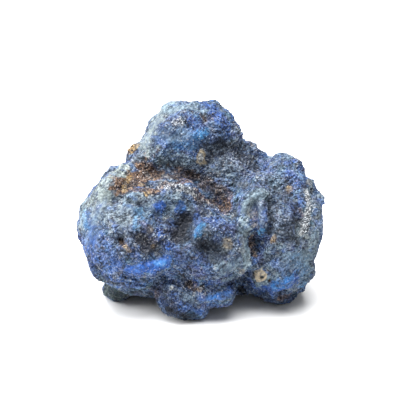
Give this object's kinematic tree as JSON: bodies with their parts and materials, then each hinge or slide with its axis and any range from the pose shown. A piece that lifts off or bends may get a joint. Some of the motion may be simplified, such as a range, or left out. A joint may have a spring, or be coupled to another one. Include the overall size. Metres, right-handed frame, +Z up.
{
  "type": "azurite specimen",
  "caption": "Rough azurite nodule: a domed crown above rounded lobes, with a rusty valley and a dark cavity between them, resting on blunt points.",
  "frame": {"origin": "middle of the stone's footprint box, on the plane it rests on", "axes": "+Z up, +X to the right along the stone's width, -Y towards whoever looks at its display side"},
  "size_m": [0.0782, 0.058, 0.0597],
  "materials": {
    "rough_azurite": "rough broken crystal grains: grey blue, with azure, navy, pale and rust-brown patches; dull, with small glints"
  },
  "bodies": {
    "root": {"azurite_nodule": "rough_azurite"}
  },
  "joints": []
}
